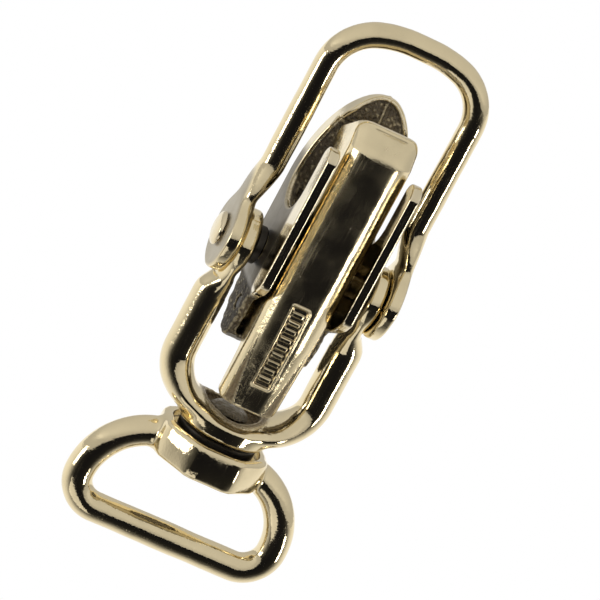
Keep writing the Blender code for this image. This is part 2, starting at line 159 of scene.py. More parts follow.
def filleted(corners: Sequence[tuple[float, float, float]], steps: int = 8) -> Array:
    """Round the corners of a closed outline.

    Formula: an arc of the corner's radius, tangent to both of its sides, replaces the
    corner.

    Args:
        corners: (u, v, radius) for every corner, in order.
        steps: Sides in each arc.

    Returns:
        The rounded outline's corners.
    """
    points = np.array([c[:2] for c in corners], float)
    made: list[Array] = []
    for i, (_, _, radius) in enumerate(corners):
        here = points[i]
        back = points[i - 1] - here
        ahead = points[(i + 1) % len(points)] - here
        reach_back, reach_ahead = np.linalg.norm(back), np.linalg.norm(ahead)
        if radius <= 0.0:
            made.append(here[None])
            continue
        back, ahead = back / reach_back, ahead / reach_ahead
        half = math.acos(float(np.clip(back @ ahead, -1.0, 1.0))) / 2.0
        run = min(radius / math.tan(half), 0.48 * reach_back, 0.48 * reach_ahead)
        radius = run * math.tan(half)
        bisector = (back + ahead) / np.linalg.norm(back + ahead)
        centre = here + bisector * radius / math.sin(half)
        start, end = here + back * run - centre, here + ahead * run - centre
        turn = math.atan2(start[0] * end[1] - start[1] * end[0], float(start @ end))
        angle = math.atan2(start[1], start[0]) + turn * np.linspace(0.0, 1.0, steps + 1)
        made.append(centre + radius * np.stack([np.cos(angle), np.sin(angle)], 1))
    return np.concatenate(made)


class Track:
    """An open line of straights and true arcs in a plane, for sections carried along it."""

    def __init__(self, corners: Sequence[tuple[float, float, float]]) -> None:
        """Lay the line.

        Args:
            corners: (u, v, radius) for every corner; the first and last have radius 0.
        """
        self.straights: list[tuple[Array, Array, float]] = []
        self.arcs: list[tuple[Array, float, float, float, float]] = []
        points = [np.array(c[:2], float) for c in corners]
        length = 0.0
        place = points[0]
        for i in range(1, len(points)):
            here, radius = points[i], corners[i][2]
            if i == len(points) - 1 or radius <= 0.0:
                self.straights.append((place, here, length))
                length += float(np.linalg.norm(here - place))
                place = here
                continue
            back = (points[i - 1] - here) / np.linalg.norm(points[i - 1] - here)
            ahead = (points[i + 1] - here) / np.linalg.norm(points[i + 1] - here)
            half = math.acos(float(np.clip(back @ ahead, -1.0, 1.0))) / 2.0
            run = radius / math.tan(half)
            centre = here + (back + ahead) / np.linalg.norm(back + ahead) * radius / math.sin(half)
            enter, leave = here + back * run, here + ahead * run
            if np.linalg.norm(enter - place) > 1e-6:
                self.straights.append((place, enter, length))
                length += float(np.linalg.norm(enter - place))
            start, end = enter - centre, leave - centre
            turn = math.atan2(start[0] * end[1] - start[1] * end[0], float(start @ end))
            self.arcs.append((centre, radius, math.atan2(start[1], start[0]), turn, length))
            length += abs(turn) * radius
            place = leave
        self.length = length

    def locate(self, u: Array, v: Array) -> tuple[Array, Array]:
        """Find the nearest place on the line.

        Args:
            u: First coordinate of the points.
            v: Second coordinate of the points.

        Returns:
            Each point's distance from the line, and how far along the line it lies.
        """
        shape = np.broadcast(u, v).shape
        best = np.full(shape, 1e9)
        along = np.zeros(shape)
        for start, end, begun in self.straights:
            step = end - start
            size = float(np.linalg.norm(step))
            share = np.clip(((u - start[0]) * step[0] + (v - start[1]) * step[1]) / size**2, 0, 1)
            away = np.hypot(u - start[0] - share * step[0], v - start[1] - share * step[1])
            nearer = away < best
            best = np.where(nearer, away, best)
            along = np.where(nearer, begun + share * size, along)
        for centre, radius, first, turn, begun in self.arcs:
            angle = np.arctan2(v - centre[1], u - centre[0]) - first
            mid = turn / 2.0
            angle = (angle - mid + math.pi) % (2.0 * math.pi) - math.pi + mid
            share = np.clip(angle / turn, 0.0, 1.0)
            at = first + share * turn
            away = np.hypot(
                u - centre[0] - radius * np.cos(at), v - centre[1] - radius * np.sin(at)
            )
            nearer = away < best
            best = np.where(nearer, away, best)
            along = np.where(nearer, begun + share * abs(turn) * radius, along)
        return best, along


def eased(along: Array, stations: Sequence[tuple[float, float]]) -> Array:
    """Read a size at places along a line, easing from one station's value to the next."""
    value = np.full(np.shape(along), stations[0][1], float)
    for (low, first), (high, second) in zip(stations, stations[1:]):
        value = value + (second - first) * ease(along, low, high)
    return value


def grain(x: Array, y: Array, z: Array, size: float, seed: int) -> Array:
    """Smooth random relief, -1 to 1, with lumps of the given size in millimetres.

    Formula: fixed random values on a cubic lattice, blended inside each cube with
    eased weights.
    """
    table = np.random.default_rng(seed).uniform(-1.0, 1.0, (32, 32, 32))
    cells, weights = [], []
    for value in (x, y, z):
        scaled = np.asarray(value, float) / size
        whole = np.floor(scaled)
        part = scaled - whole
        cells.append(whole.astype(np.int64))
        weights.append(part * part * (3.0 - 2.0 * part))
    total: Array | float = 0.0
    for i in (0, 1):
        for j in (0, 1):
            for k in (0, 1):
                weight = (
                    (weights[0] if i else 1.0 - weights[0])
                    * (weights[1] if j else 1.0 - weights[1])
                    * (weights[2] if k else 1.0 - weights[2])
                )
                total = total + weight * table[
                    (cells[0] + i) % 32, (cells[1] + j) % 32, (cells[2] + k) % 32
                ]
    return total


# ---------------------------------------------------------------- meshes


def smooth_mesh(
    name: str, vertices: Array, faces: Array, normals: Array | None
) -> bpy.types.Object:
    """Put millimetre vertices and equal-sided faces into a new smooth-shaded object."""
    sides = faces.shape[1]
    mesh = bpy.data.meshes.new(name)
    mesh.vertices.add(len(vertices))
    mesh.vertices.foreach_set("co", (vertices * MM).astype(np.float32).ravel())
    mesh.loops.add(faces.size)
    mesh.loops.foreach_set("vertex_index", faces.astype(np.int32).ravel())
    mesh.polygons.add(len(faces))
    mesh.polygons.foreach_set("loop_start", np.arange(0, faces.size, sides, dtype=np.int32))
    mesh.update(calc_edges=True)
    mesh.validate()
    mesh.shade_smooth()
    if normals is not None:
        mesh.normals_split_custom_set_from_vertices(normals.astype(np.float32))
    made = bpy.data.objects.new(name, mesh)
    bpy.context.scene.collection.objects.link(made)
    return made


def slope(solid: Solid, points: Array, step: float) -> tuple[Array, Array]:
    """Return a solid's gradient and the sum of its second differences at some points."""
    x, y, z = points.T
    here = solid(x, y, z)
    ahead = [solid(x + step, y, z), solid(x, y + step, z), solid(x, y, z + step)]
    behind = [solid(x - step, y, z), solid(x, y - step, z), solid(x, y, z - step)]
    gradient = np.stack([(a - b) / (2.0 * step) for a, b in zip(ahead, behind)], 1)
    bend = (sum(ahead) + sum(behind) - 6.0 * here) / step**2
    return gradient, bend


def net_over(solid: Solid, low: Array, high: Array, pitch: float) -> tuple[Array, Array]:
    """Lay a net of quads over a solid's surface.

    Formula: each lattice cube that the surface passes through gets one vertex, at the
    mean of the crossings on its twelve edges, and each lattice edge that the surface
    crosses joins the vertices of the four cubes around it.

    Args:
        solid: Signed distance in millimetres.
        low: Lowest corner of the space to search.
        high: Highest corner of that space.
        pitch: Side of a cube.

    Returns:
        Vertices and quads, wound to face outwards.
    """
    axes = [np.arange(a - 2.0 * pitch, b + 3.0 * pitch, pitch) for a, b in zip(low, high)]
    shape = tuple(len(a) for a in axes)
    value = np.broadcast_to(
        solid(axes[0][:, None, None], axes[1][None, :, None], axes[2][None, None, :]), shape
    ).astype(np.float32)
    inside = value < 0.0
    nx, ny, nz = (n - 1 for n in shape)
    tally = np.zeros((nx, ny, nz), np.int8)
    offsets = [(i, j, k) for i in (0, 1) for j in (0, 1) for k in (0, 1)]
    for i, j, k in offsets:
        tally += inside[i : i + nx, j : j + ny, k : k + nz]
    cell = np.argwhere((tally > 0) & (tally < 8))
    number = np.full((nx, ny, nz), -1, np.int32)
    number[tuple(cell.T)] = np.arange(len(cell))
    corner = np.stack([value[tuple((cell + o).T)] for o in offsets], 1)
    place = np.zeros((len(cell), 3))
    count = np.zeros(len(cell))
    for a, first in enumerate(offsets):
        for b, second in enumerate(offsets):
            if b <= a or sum(abs(p - q) for p, q in zip(first, second)) != 1:
                continue
            crossed = (corner[:, a] < 0.0) != (corner[:, b] < 0.0)
            gap = np.where(crossed, corner[:, a] - corner[:, b], 1.0)
            share = (corner[:, a] / gap)[:, None]
            spot = np.array(first) + share * (np.array(second) - np.array(first))
            place += np.where(crossed[:, None], spot, 0.0)
            count += crossed
    vertices = np.array([a[0] for a in axes]) + (cell + place / count[:, None]) * pitch
    quads = []
    for axis in range(3):
        one, two = (axis + 1) % 3, (axis + 2) % 3
        ahead = [slice(1, -1)] * 3
        ahead[axis] = slice(0, -1)
        beyond = [slice(1, -1)] * 3
        beyond[axis] = slice(1, None)
        near, far = inside[tuple(ahead)], inside[tuple(beyond)]
        start = np.array([1, 1, 1])
        start[axis] = 0
        for mask, flip in ((near & ~far, False), (far & ~near, True)):
            edge = np.argwhere(mask) + start
            around = []
            for p, q in ((-1, -1), (0, -1), (0, 0), (-1, 0)):
                step = np.zeros(3, int)
                step[one], step[two] = p, q
                around.append(number[tuple((edge + step).T)])
            quad = np.stack(around, 1)
            quads.append(quad[:, ::-1] if flip else quad)
    return vertices, np.concatenate(quads)


def cast_piece(
    name: str, solid: Solid, nodes: Sequence[str], pitch: float,
    rough: Solid | None = None, satin_and_painted_reflection: Solid | None = None,
) -> bpy.types.Object:
    """Make one casting from its distance formula.

    Formula: a net over the surface, each vertex moved four times by its distance over
    its slope, normals from the slope, and the attributes wear (outward bends), the
    darkening of inward bends, and cast (the as-cast skin's share).

    Args:
        name: Piece name.
        solid: Signed distance in millimetres.
        nodes: CAD nodes whose space the piece fills.
        pitch: Net pitch in millimetres.
        rough: Share of as-cast skin, 0 to 1.
        satin_and_painted_reflection: Share of tumbled skin, 0 to 1, whose colour is a painted
            reflection.

    Returns:
        The new object.
    """
    boxes = [node_box(n) for n in nodes]
    low = np.min([b[0] for b in boxes], 0)
    high = np.max([b[1] for b in boxes], 0)
    vertices, quads = net_over(solid, low, high, pitch)
    for _ in range(4):
        gradient, _ = slope(solid, vertices, 0.03)
        size = np.maximum((gradient**2).sum(1), 0.05)
        pull = solid(*vertices.T) / size
        pull = np.clip(pull, -0.6 * pitch, 0.6 * pitch)
        vertices = vertices - gradient * pull[:, None]
    gradient, _ = slope(solid, vertices, 0.05)
    normals = gradient / np.maximum(np.linalg.norm(gradient, axis=1), 1e-9)[:, None]
    made = smooth_mesh(name, vertices, quads, normals)
    _, bend = slope(solid, vertices, 0.22)
    shares = {
        "wear": ease(bend, 0.8, 3.5),
        "inward_bend_dark": ease(-bend, 0.5, 3.0),
        "cast": rough(*vertices.T) if rough else np.zeros(len(vertices)),
        "satin_and_painted_reflection": satin_and_painted_reflection(*vertices.T) if satin_and_painted_reflection else np.zeros(len(vertices)),
    }
    for word, share in shares.items():
        layer = made.data.attributes.new(word, "FLOAT", "POINT")
        layer.data.foreach_set("value", np.broadcast_to(share, len(vertices)).astype(np.float32))
    return made


def grid_faces(rows: int, columns: int) -> Array:
    """Number the quads of a grid whose columns close on themselves."""
    row, column = np.meshgrid(np.arange(rows - 1), np.arange(columns), indexing="ij")
    beside = (column + 1) % columns
    low, high = row * columns, (row + 1) * columns
    return np.stack([low + column, low + beside, high + beside, high + column], -1).reshape(-1, 4)


def turned_piece(
    name: str, profile: Sequence[tuple[float, float]], along_x: bool, centre: tuple[float, float],
    sides: int = 96, ripple: float = 0.0, cast: float = 0.0,
) -> bpy.types.Object:
    """Turn a profile about an axis.

    Formula: the point at profile place s and angle a is (s, radius cos a,
    radius sin a), both s and the radius rippled by seeded relief where it was peened.

    Args:
        name: Piece name.
        profile: (place along the axis, radius) pairs in millimetres.
        along_x: Whether the axis runs along X; otherwise it runs along Z.
        centre: The axis's place in the two other directions.
        sides: Steps around.
        ripple: Depth of the peened ripple as a share of the radius.
        cast: Share of dark as-cast skin, 0 to 1.

    Returns:
        The new object.
    """
    knots = np.array(profile, float)
    run = np.concatenate([[0.0], np.cumsum(np.hypot(*np.diff(knots, axis=0).T))])
    fine = np.unique(np.concatenate([run, np.arange(0.0, run[-1], 0.12)]))
    place, radius = np.interp(fine, run, knots[:, 0]), np.interp(fine, run, knots[:, 1])
    angle = np.linspace(0.0, 2.0 * math.pi, sides, endpoint=False)
    ring = radius[:, None] * np.ones(sides)
    level = place[:, None] * np.ones(sides)
    if ripple:
        wave = grain(ring * np.cos(angle), ring * np.sin(angle), level, 0.9, 5)
        ring = ring * (1.0 - ripple * (0.5 + 0.5 * wave))
    u, v = centre[0] + ring * np.cos(angle), centre[1] + ring * np.sin(angle)
    w = level + 1.2 * ripple * grain(ring * np.cos(angle), ring * np.sin(angle), level, 0.7, 6)
    points = np.stack([w, u, v] if along_x else [u, v, w], -1).reshape(-1, 3)
    made = shell(name, points, grid_faces(len(fine), sides))
    layer = made.data.attributes.new("cast", "FLOAT", "POINT")
    layer.data.foreach_set("value", np.full(len(made.data.vertices), cast, np.float32))
    return made


def shell(name: str, points: Array, faces: Array) -> bpy.types.Object:
    """Make an object from a grid, with doubles merged, holes closed and faces outwards."""
    made = smooth_mesh(name, points, faces, None)
    work = bmesh.new()
    work.from_mesh(made.data)
    bmesh.ops.remove_doubles(work, verts=work.verts, dist=1e-6)
    open_edges = [e for e in work.edges if e.is_boundary]
    if open_edges:
        bmesh.ops.holes_fill(work, edges=open_edges, sides=0)
    bmesh.ops.recalc_face_normals(work, faces=work.faces)
    work.to_mesh(made.data)
    work.free()
    made.data.set_sharp_from_angle(angle=math.radians(40.0))
    return made


# ---------------------------------------------------------------- finishes


class Skin(Enum):
    """How the outside of a piece was left."""

    POLISHED = "polished"
    PEENED = "peened"
    TURNED = "turned"
    DRAWN = "drawn"


@dataclass(frozen=True)
class Finish:
    """One metal finish.

    Plate, tarnish and dull are colours; dull is a painted reflection, the grey to
    near-black look given to tumbled side faces. Gloss and haze are the roughness of the
    cleanest and of the dullest plate.
    """

    name: str
    plate: Colour
    tarnish: Colour
    gloss: float
    haze: float
    # Painted reflection: the grey given to tumbled side faces in place of what they reflect.
    dull: Colour = (0.36, 0.33, 0.265)
    skin: Skin = Skin.POLISHED

    def material(self) -> bpy.types.Material:
        """Build the finish as shader nodes.

        Returns:
            The new material.
        """
        made = bpy.data.materials.new(self.name)
        made.use_nodes = True
        tree = made.node_tree
        shader = tree.nodes["Principled BSDF"]
        shader.inputs["Metallic"].default_value = 1.0
        place = tree.nodes.new("ShaderNodeTexCoord").outputs["Object"]

        def noise(
            scale: float, detail: float, stretch: tuple[float, float, float] = (1, 1, 1)
        ) -> Socket:
            """Add a noise field; stretch squeezes it along the axes."""
            source = place
            if stretch != (1, 1, 1):
                mapping = tree.nodes.new("ShaderNodeMapping")
                mapping.inputs["Scale"].default_value = stretch
                tree.links.new(place, mapping.inputs["Vector"])
                source = mapping.outputs["Vector"]
            node = tree.nodes.new("ShaderNodeTexNoise")
            node.inputs["Scale"].default_value = scale
            node.inputs["Detail"].default_value = detail
            tree.links.new(source, node.inputs["Vector"])
            return node.outputs["Fac"]

        def spread(value: Socket, low: float, high: float, first: float, second: float) -> Socket:
            """Map low..high onto first..second, clamped."""
            node = tree.nodes.new("ShaderNodeMapRange")
            for index, number in enumerate((low, high, first, second), 1):
                node.inputs[index].default_value = number
            tree.links.new(value, node.inputs[0])
            return node.outputs[0]

        def sums(operation: str, a: Socket | float, b: Socket | float) -> Socket:
            """Combine two values, or a value and a number."""
            node = tree.nodes.new("ShaderNodeMath")
            node.operation = operation
            for socket, value in zip(node.inputs, (a, b)):
                if isinstance(value, (int, float)):
                    socket.default_value = value
                else:
                    tree.links.new(value, socket)
            return node.outputs[0]

        def share(word: str) -> Socket:
            """Read a piece's own attribute."""
            node = tree.nodes.new("ShaderNodeAttribute")
            node.attribute_name = word
            return node.outputs["Fac"]

        def mixed(factor: Socket, first: Socket | Colour, second: Socket | Colour) -> Socket:
            """Mix two colours, given as sockets or as constants."""
            node = tree.nodes.new("ShaderNodeMix")
            node.data_type = "RGBA"
            tree.links.new(factor, node.inputs[0])
            for socket, value in ((node.inputs[6], first), (node.inputs[7], second)):
                if isinstance(value, tuple):
                    socket.default_value = (*value, 1.0)
                else:
                    tree.links.new(value, socket)
            return node.outputs[2]

        def bumped(
            height: Socket, strength: float, distance: float, under: Socket | None = None
        ) -> Socket:
            """Add a bump layer."""
            node = tree.nodes.new("ShaderNodeBump")
            node.inputs["Strength"].default_value = strength
            node.inputs["Distance"].default_value = distance
            tree.links.new(height, node.inputs["Height"])
            if under is not None:
                tree.links.new(under, node.inputs["Normal"])
            return node.outputs["Normal"]

        cast, wear, inward_bend_dark, satin_and_painted_reflection = (share(word) for word in ("cast", "wear", "inward_bend_dark", "satin_and_painted_reflection"))
        cloud = noise(260.0, 4.0)
        fleck = noise(2600.0, 3.0)
        scratch = noise(900.0, 2.0, (3.2, 3.2, 0.16))
        cross = noise(900.0, 2.0, (0.2, 2.4, 2.8))

        dull = spread(cloud, 0.42, 0.72, 0.0, 0.55)
        # Darker towards the tarnish colour in inward bends and on the as-cast skin.
        skin_and_bend_dark = sums("MAXIMUM", sums("MULTIPLY", inward_bend_dark, 0.75), sums("MULTIPLY", cast, 0.88))
        colour = mixed(dull, self.plate, tuple(0.86 * c for c in self.plate))
        colour = mixed(skin_and_bend_dark, colour, self.tarnish)
        # Painted reflection: tumbled side faces pulled towards the dull colour.
        colour = mixed(sums("MULTIPLY", satin_and_painted_reflection, 0.85), colour, self.dull)
        bright = tuple(min(1.0, 1.06 * c) for c in self.plate)
        colour = mixed(sums("MULTIPLY", wear, 0.6), colour, bright)
        tree.links.new(colour, shader.inputs["Base Color"])

        fine = spread(scratch, 0.56, 0.74, 0.0, 0.10)
        rough = sums("ADD", spread(cloud, 0.35, 0.7, self.gloss, self.haze), fine)
        rough = sums("ADD", rough, sums("MULTIPLY", cast, 0.24))
        rough = sums("ADD", rough, sums("MULTIPLY", satin_and_painted_reflection, 0.34))
        tree.links.new(rough, shader.inputs["Roughness"])

        lines = sums("ADD", scratch, cross)
        normal = bumped(lines, 0.10 if self.skin is Skin.POLISHED else 0.2, 0.00004)
        normal = bumped(noise(1300.0, 2.0), 0.22, 0.00006, normal)
        normal = bumped(fleck, 0.2, 0.00005, normal)
        pits = sums("MULTIPLY", fleck, cast)
        normal = bumped(pits, 1.0, 0.0006, normal)
        tree.links.new(normal, shader.inputs["Normal"])
        return made


CHAMPAGNE = Finish("polished_nickel_plate", (0.82, 0.71, 0.47), (0.16, 0.115, 0.065), 0.04, 0.12)
CASTING = Finish(
    "as_cast_nickel_plate", (0.78, 0.69, 0.49), (0.075, 0.062, 0.052), 0.05, 0.14,
    # dull: a near-black painted reflection for the cheeks' flat outsides.
    dull=(0.10, 0.09, 0.075),
)
SCUFFED = Finish("scuffed_nickel_plate", (0.82, 0.71, 0.47), (0.16, 0.115, 0.065), 0.10, 0.25)
RIVET = Finish(
    "peened_rivet_plate", (0.80, 0.70, 0.49), (0.15, 0.105, 0.05), 0.10, 0.22, skin=Skin.PEENED
)
# Painted shade: the near-black plate makes the washer, sleeves and pin read as the shadowed gaps
# they sit in.
STEEL_PAINTED_SHADE = Finish(
    "turned_steel_painted_shade", (0.075, 0.07, 0.062), (0.05, 0.043, 0.035), 0.3, 0.5, skin=Skin.TURNED
)
SPRING = Finish(
    "drawn_spring_wire", (0.42, 0.41, 0.40), (0.15, 0.13, 0.11), 0.22, 0.4, skin=Skin.DRAWN
)


@dataclass(frozen=True)
class Twist:
    """The other body and the two ends of the axis of a piece that joins two bodies, in
    millimetres.
    """

    other: str
    start: tuple[float, float, float]
    end: tuple[float, float, float]


def dress(
    made: bpy.types.Object, finish: Finish, body: str, nodes: Sequence[str],
    twist: Twist | None = None,
) -> bpy.types.Object:
    """Give a piece its finish and, unless it has a twist, the body it rides on, and hide the nodes
    it stands for.

    Args:
        made: The piece.
        finish: Its finish.
        body: The body it rides on.
        nodes: The CAD nodes it stands for.
        twist: For a piece held by two bodies; when given, the piece is baked in place and rides on
            no body.

    Returns:
        The same piece.
    """
    material = bpy.data.materials.get(finish.name) or finish.material()
    made.data.materials.append(material)
    if twist is None:
        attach(made, body)
    else:
        start, end = Vector(twist.start) * MM, Vector(twist.end) * MM
        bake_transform(made)
    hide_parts(*nodes)
    LOG.info("%s: %d faces on %s", made.name, len(made.data.polygons), body)
    return made


# ---------------------------------------------------------------- sub-assemblies


@dataclass
class WebbingRing:
    """The ring for the strap, with the octagonal collar that turns on the stem."""

    wire: float = 2.45
    half_width: float = 16.8
    corner: float = 4.8
    shoulder: float = 11.0
    flats: float = 9.0
    collar_low: float = -18.9
    collar_high: float = -13.0
    pocket: float = 7.55
    pocket_depth: float = 1.4
    head_room: float = 4.5
    head_depth: float = 1.9
    track: Track = field(init=False)

    def __post_init__(self) -> None:
        """Lay the wire's centre line."""
        foot = -self.corner - self.shoulder
        self.track = Track(
            [
                (0.0, foot, 0.0),
                (self.half_width, foot, self.shoulder),
                (self.half_width, 0.0, self.corner),
                (0.0, 0.0, 0.0),
            ]
        )

    def solid(self, x: Array, y: Array, z: Array) -> Array:
        """Distance from the ring: a round wire, softly joined to an octagonal collar."""
        away, _ = self.track.locate(np.abs(x), z)
        lump = 0.05 * grain(x, y, z, 4.5, 3) + 0.016 * grain(x, y, z, 1.7, 4)
        loop = np.hypot(away, y) - self.wire
        cx, cy = np.abs(x), np.abs(y)
        slant = (cx + cy) * math.sqrt(0.5) - self.flats
        sides = round_common(round_common(cx - self.flats, cy - self.flats, 0.3), slant, 0.35)
        sides = round_common(sides, np.hypot(x, y) - self.flats - 0.42, 0.5)
        middle_z = (self.collar_low + self.collar_high) / 2.0
        barrel = 0.4 * ((z - middle_z) / (self.collar_high - middle_z)) ** 2
        ends = np.maximum(self.collar_low - z, z - self.collar_high)
        collar = round_common(sides + np.minimum(barrel, 0.8), ends, 0.8)
        made = soft_union(loop, collar, 1.3)
        round_in = np.hypot(x, y)
        pocket = np.maximum(round_in - self.pocket, z - (self.collar_low + self.pocket_depth))
        made = round_cut(made, pocket, 0.25)
        made = round_cut(made, np.maximum(round_in - STEM_BORE, z - self.collar_high), 0.15)
        seat_floor = self.collar_high - self.head_depth
        seat = np.maximum(seat_floor - z, z - self.collar_high - 4.0)
        made = round_cut(made, np.maximum(round_in - self.head_room, seat), 0.3)
        return made + lump

    def build(self) -> None:
        """Make and dress the ring and the washer under its collar."""
        ring = cast_piece("webbing_ring", self.solid, ["d_ring"], 0.22)
        dress(ring, CHAMPAGNE, "ring", ["d_ring"])
        low, high = node_box("swivel_washer")
        inner, outer = 2.7, float(high[0])
        rim = 0.25
        profile = [
            (low[2], inner), (low[2], outer - rim), (low[2] + rim, outer),
            (high[2] - 0.1, outer), (high[2], outer - 0.1), (high[2], inner), (low[2], inner),
        ]
        washer = turned_piece("thrust_washer", profile, False, (0.0, 0.0))
        dress(washer, STEEL_PAINTED_SHADE, "ring", ["swivel_washer"])


@dataclass
class Fork:
    """The fork, its riveted stem, the main axle and the two sleeves on it."""

    arm: float = 2.7
    arm_x: float = 11.8
    eye_radius: float = 5.0
    eye_inner: float = 9.9
    eye_outer: float = 12.3
    base_radius: float = 7.2
    base_top: float = -19.8
    base_depth: float = 2.9
    hollow: float = 4.9
    foot_rise: float = 26.95
    foot_bend: float = 7.55
    track: Track = field(init=False)

    def __post_init__(self) -> None:
        """Lay one arm's centre line from the eye to the base."""
        eye_x = (self.eye_inner + self.eye_outer) / 2.0
        foot = AXLE_Z + self.foot_rise
        self.track = Track(
            [
                (eye_x, AXLE_Z + 0.5, 0.0),
                (eye_x, AXLE_Z + 6.8, 2.5),
                (self.arm_x, AXLE_Z + 9.6, 2.5),
                (self.arm_x, foot, self.foot_bend),
                (0.0, foot, 0.0),
            ]
        )

    def solid(self, x: Array, y: Array, z: Array) -> Array:
        """Distance from the fork: oval arms, flat eyes and a hollowed round base."""
        side = np.abs(x)
        away, along = self.track.locate(side, z)
        thin = eased(along, [(3.5, 1.2), (10.0, self.arm), (22.0, self.arm), (31.0, 2.1)])
        deep = eased(along, [(1.0, 4.4), (10.0, self.arm), (20.0, self.arm), (29.0, 5.4)])
        arms = oval(away, y, thin, deep)
        eye_ring = np.hypot(y, z - AXLE_Z) - self.eye_radius
        eye_flat = np.maximum(self.eye_inner - side, side - self.eye_outer)
        eyes = round_common(eye_ring, eye_flat, 0.7)
        made = soft_union(arms, eyes, 1.6)
        round_in = np.hypot(x, y)
        depth = np.maximum(self.base_top - self.base_depth - z, z - self.base_top)
        base = round_common(round_in - self.base_radius, depth, 0.7)
        made = soft_union(made, base, 1.8)
        floor = self.base_top - self.base_depth
        scoop = round_common(round_in - self.hollow, z - floor, 0.5)
        scoop = np.maximum(scoop, floor - 4.0 - z)
        made = round_cut(made, scoop, 0.35)
        made = round_cut(made, round_in - STEM_BORE, 0.1)
        made = round_cut(made, np.hypot(y, z - AXLE_Z) - AXLE_BORE, 0.15)
        made = np.maximum(made, z - self.base_top)
        lump = 0.055 * grain(x, y, z, 4.0, 11) + 0.016 * grain(x, y, z, 1.5, 12)
        rough = self.rough(x, y, z)
        return made + lump + rough * (0.09 * grain(x, y, z, 0.7, 13))

    def rough(self, x: Array, y: Array, z: Array) -> Array:
        """Share of as-cast skin: the base's hollow."""
        floor = self.base_top - self.base_depth
        return ease(6.4 - np.hypot(x, y), 0.0, 1.2) * ease(floor + 1.0 - z, -0.4, 0.6)

    def build(self) -> None:
        """Make and dress the fork, stem, axle and sleeves."""
        fork = cast_piece("fork_frame", self.solid, ["fork"], 0.22, self.rough)
        dress(fork, CHAMPAGNE, "yoke", ["fork"])
        self.build_stem()
        self.build_axle()

    def build_stem(self) -> None:
        """Make the stem: a shank with a turned head above and a peened end below."""
        low, high = node_box("swivel_stem")
        head = float(high[0])
        foot, top = float(low[2]), float(high[2])
        floor = self.base_top - self.base_depth
        profile = [
            (foot, 0.0), (foot + 0.05, 1.2), (foot + 0.3, 2.4), (foot + 0.8, 3.3),
            (floor - 0.45, 3.55), (floor - 0.3, 3.3), (floor - 0.3, 2.5),
            (top - 1.5, 2.5), (top - 1.5, head - 0.15), (top - 1.35, head),
            (top - 0.5, head), (top - 0.1, head - 0.45), (top, head - 1.4), (top, 0.0),
        ]
        stem = turned_piece("swivel_rivet", profile, False, (0.0, 0.0), 96, 0.14, 0.9)
        dress(stem, CASTING, "yoke", ["swivel_stem"])

    def build_axle(self) -> None:
        """Make the axle with a domed head at each end, and the two sleeves."""
        low, high = node_box("axle_pin")
        end, head = float(high[0]), float(high[2] - AXLE_Z)
        angle = np.linspace(0.0, math.pi / 2.0, 9)
        under = end - 1.0
        dome = [
            (under + 0.12 + 0.88 * math.sin(a), head * math.cos(a) ** 0.8) for a in angle[:-1]
        ]
        dome.append((end, 0.0))
        half = [(0.0, 2.0), (under, 2.0), (under, head - 0.12), *dome]
        profile = [(-x, r) for x, r in reversed(half[1:])] + half
        axle = turned_piece("main_axle", profile, True, (0.0, AXLE_Z), 96, 0.015)
        dress(axle, RIVET, "yoke", ["axle_pin"])
        for word in ("left", "right"):
            low, high = node_box(word + "_sleeve")
            radius, rim = float(high[1]), 0.2
            profile = [
                (low[0], AXLE_BORE), (low[0], radius - rim), (low[0] + rim, radius),
                (high[0] - rim, radius), (high[0], radius - rim), (high[0], AXLE_BORE),
                (low[0], AXLE_BORE),
            ]
            sleeve = turned_piece(word + "_spacer", profile, True, (0.0, AXLE_Z))
            dress(sleeve, STEEL_PAINTED_SHADE, "yoke", [word + "_sleeve"])


@dataclass
class Bail:
    """The swinging bail: a round wire loop with two forged, eyed paddles."""

    wire: float = 2.0
    arm_x: float = 12.5
    reach: float = 38.8
    corner: float = 8.0
    shoulder: float = 36.1
    paddle_radius: float = 6.2
    paddle_inner: float = 12.6
    paddle_outer: float = 14.9
    track: Track = field(init=False)

    def __post_init__(self) -> None:
        """Lay half of the wire's centre line, from the axle to the middle of the loop."""
        paddle_x = (self.paddle_inner + self.paddle_outer) / 2.0
        self.track = Track(
            [
                (paddle_x, AXLE_Z, 0.0),
                (paddle_x, AXLE_Z - 6.5, 4.0),
                (self.arm_x, AXLE_Z - 12.5, 6.0),
                (self.arm_x, AXLE_Z - self.shoulder, self.corner),
                (4.2, AXLE_Z - self.reach, 16.0),
                (0.0, AXLE_Z - self.reach, 0.0),
            ]
        )

    def solid(self, x: Array, y: Array, z: Array) -> Array:
        """Distance from the bail: a wire that flattens and widens into round paddles."""
        side = np.abs(x)
        away, along = self.track.locate(side, z)
        thin = eased(along, [(2.0, 1.15), (13.0, self.wire), (20.0, self.wire)])
        deep = eased(along, [(0.5, 5.4), (7.0, 3.2), (13.5, self.wire), (20.0, self.wire)])
        loop = oval(away, y, thin, deep)
        disc = np.hypot(y, z - AXLE_Z) - self.paddle_radius
        flat = np.maximum(self.paddle_inner - side, side - self.paddle_outer)
        paddles = round_common(disc, flat, 0.75)
        made = soft_union(loop, paddles, 1.5)
        made = soft_common(made, side - self.paddle_outer, 0.5)
        made = round_cut(made, np.hypot(y, z - AXLE_Z) - AXLE_BORE, 0.15)
        lump = 0.05 * grain(x, y, z, 4.2, 21) + 0.016 * grain(x, y, z, 1.4, 22)
        return made + lump

    def satin_and_painted_reflection(self, x: Array, y: Array, z: Array) -> Array:
        """Share of tumbled skin with a painted grey reflection: the flat outsides of the paddles.
        """
        outside = ease(np.abs(x) - self.paddle_outer, -0.45, -0.1)
        return outside * ease(13.0 - (AXLE_Z - z), 0.0, 4.0)

    def build(self) -> None:
        """Make and dress the bail."""
        bail = cast_piece("bail_loop", self.solid, ["bail"], 0.22, None, self.satin_and_painted_reflection)
        dress(bail, CHAMPAGNE, "bail", ["bail"])


